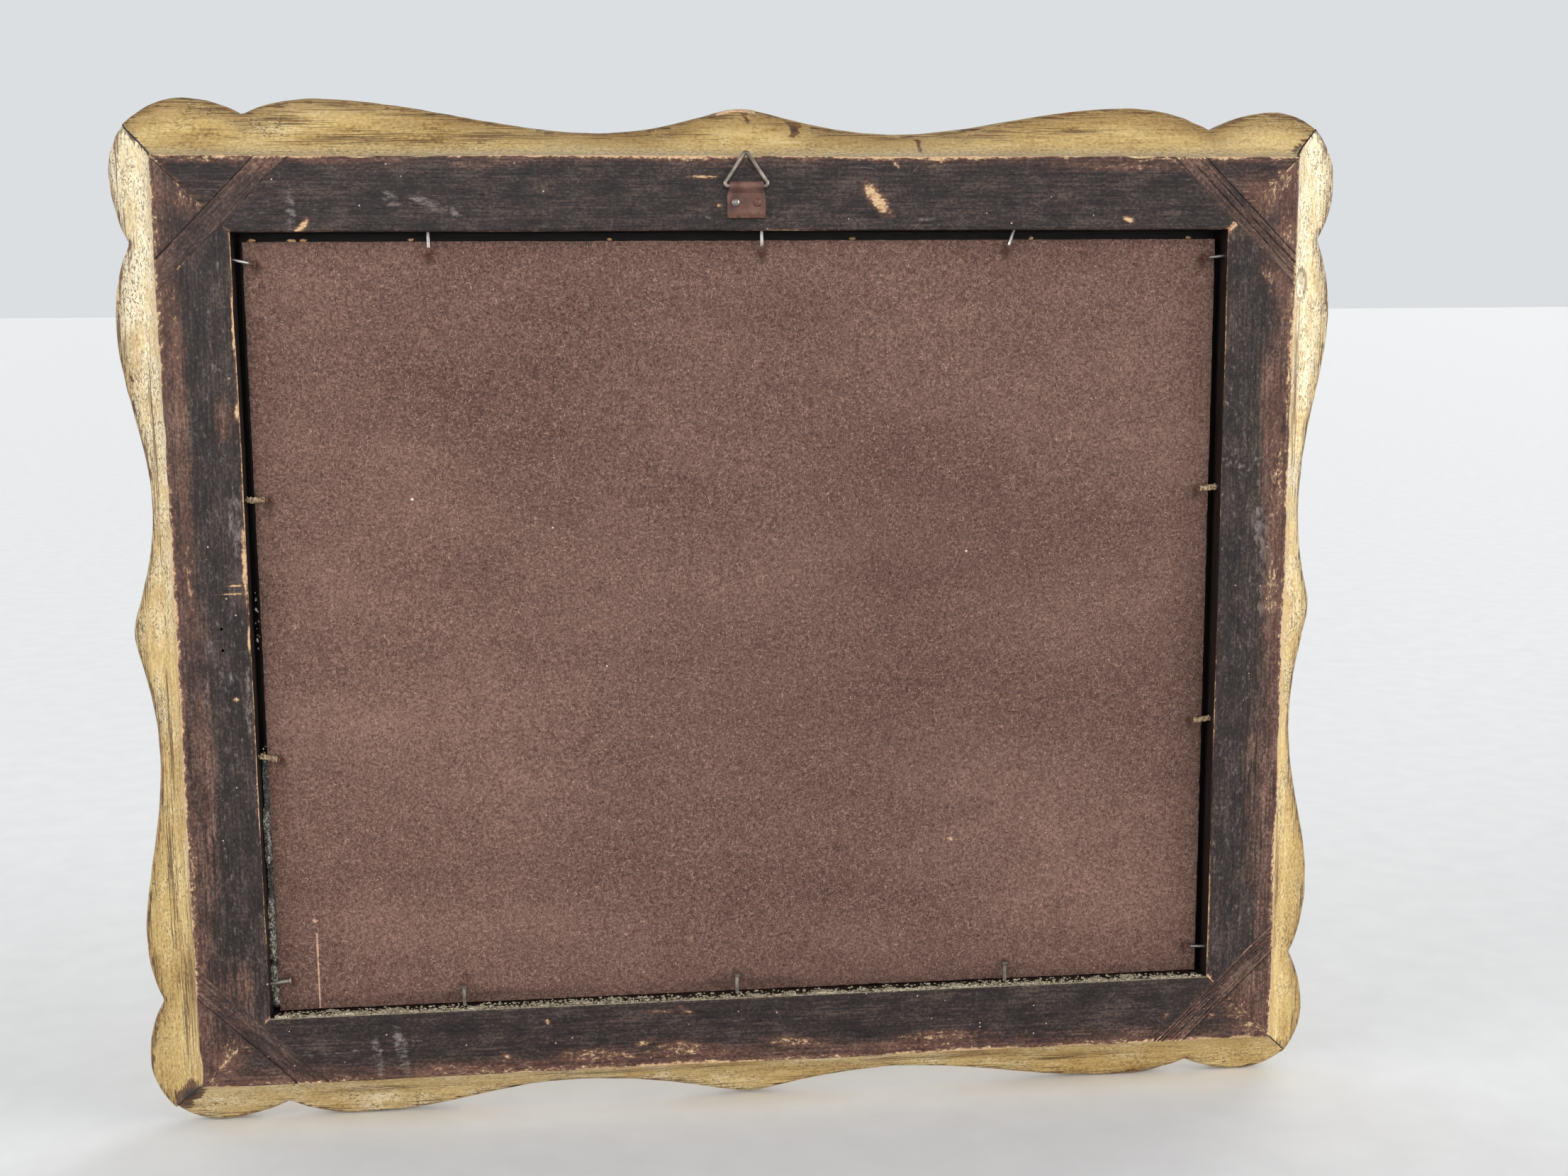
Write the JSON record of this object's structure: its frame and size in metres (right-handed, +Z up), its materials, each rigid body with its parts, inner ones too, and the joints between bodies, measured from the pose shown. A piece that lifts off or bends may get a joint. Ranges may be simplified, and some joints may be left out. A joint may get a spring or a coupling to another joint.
{
  "type": "coin display frame",
  "caption": "Scalloped gilt wooden wall frame with mitred, keyed corners, glazing, a coin mount, a bradded backing board and a swinging hanger ring.",
  "frame": {"origin": "bottom centre of the whole frame's box, where its lowest scallops would stand", "axes": "+X to the right seen from the front, +Y out of the back towards the wall, +Z up"},
  "size_m": [0.3784, 0.0246, 0.3184],
  "materials": {
    "gilt_wood": "gilt cove and front, dark stained back, worn",
    "key_wood": "dark stain, worn",
    "brad_steel": "dull wire with rust",
    "hanger_rust": "rusted sheet steel",
    "hanger_wire": "dull grey wire",
    "fibreboard": "matt brown fibreboard",
    "card": "matt",
    "felt": "deep red felt on card",
    "glass": "clear, polished",
    "coin_silver": "worn silver-coloured metal",
    "coin_bronze": "toned bronze"
  },
  "bodies": {
    "frame": {"backing_board": "fibreboard", "base_card": "card", "bottom_rail": "gilt_wood", "brad_bottom_1": "brad_steel", "brad_bottom_2": "brad_steel", "brad_bottom_3": "brad_steel", "brad_left_1": "brad_steel", "brad_left_2": "brad_steel", "brad_left_3": "brad_steel", "brad_left_4": "brad_steel", "brad_right_1": "brad_steel", "brad_right_2": "brad_steel", "brad_right_3": "brad_steel", "brad_right_4": "brad_steel", "brad_top_1": "brad_steel", "brad_top_2": "brad_steel", "brad_top_3": "brad_steel", "coin_1_1": "coin_silver", "coin_1_2": "coin_silver", "coin_1_3": "coin_silver", "coin_1_4": "coin_silver", "coin_1_5": "coin_silver", "coin_2_1": "coin_bronze", "coin_2_2": "coin_bronze", "coin_2_3": "coin_bronze", "coin_2_4": "coin_bronze", "coin_2_5": "coin_bronze", "coin_3_1": "coin_silver", "coin_3_2": "coin_silver", "coin_3_3": "coin_silver", "coin_3_4": "coin_silver", "coin_3_5": "coin_silver", "coin_4_1": "coin_bronze", "coin_4_2": "coin_bronze", "coin_4_3": "coin_bronze", "coin_4_4": "coin_bronze", "coin_4_5": "coin_bronze", "coin_panel": "felt", "corner_key_bottom_left": "key_wood", "corner_key_bottom_right": "key_wood", "corner_key_top_left": "key_wood", "corner_key_top_right": "key_wood", "glass_pane": "glass", "hanger_pin_1": "hanger_wire", "hanger_pin_2": "hanger_wire", "hanger_strap": "hanger_rust", "left_stile": "gilt_wood", "right_stile": "gilt_wood", "top_rail": "gilt_wood"},
    "ring": {"hanger_ring": "hanger_wire"}
  },
  "joints": [
    {"name": "ring_swing", "type": "hinge", "parent": "frame", "child": "ring", "pos_m": [-0.001, 0.011, 0.2933], "axis": [-1, 0, 0], "range_deg": [0, 165]}
  ]
}
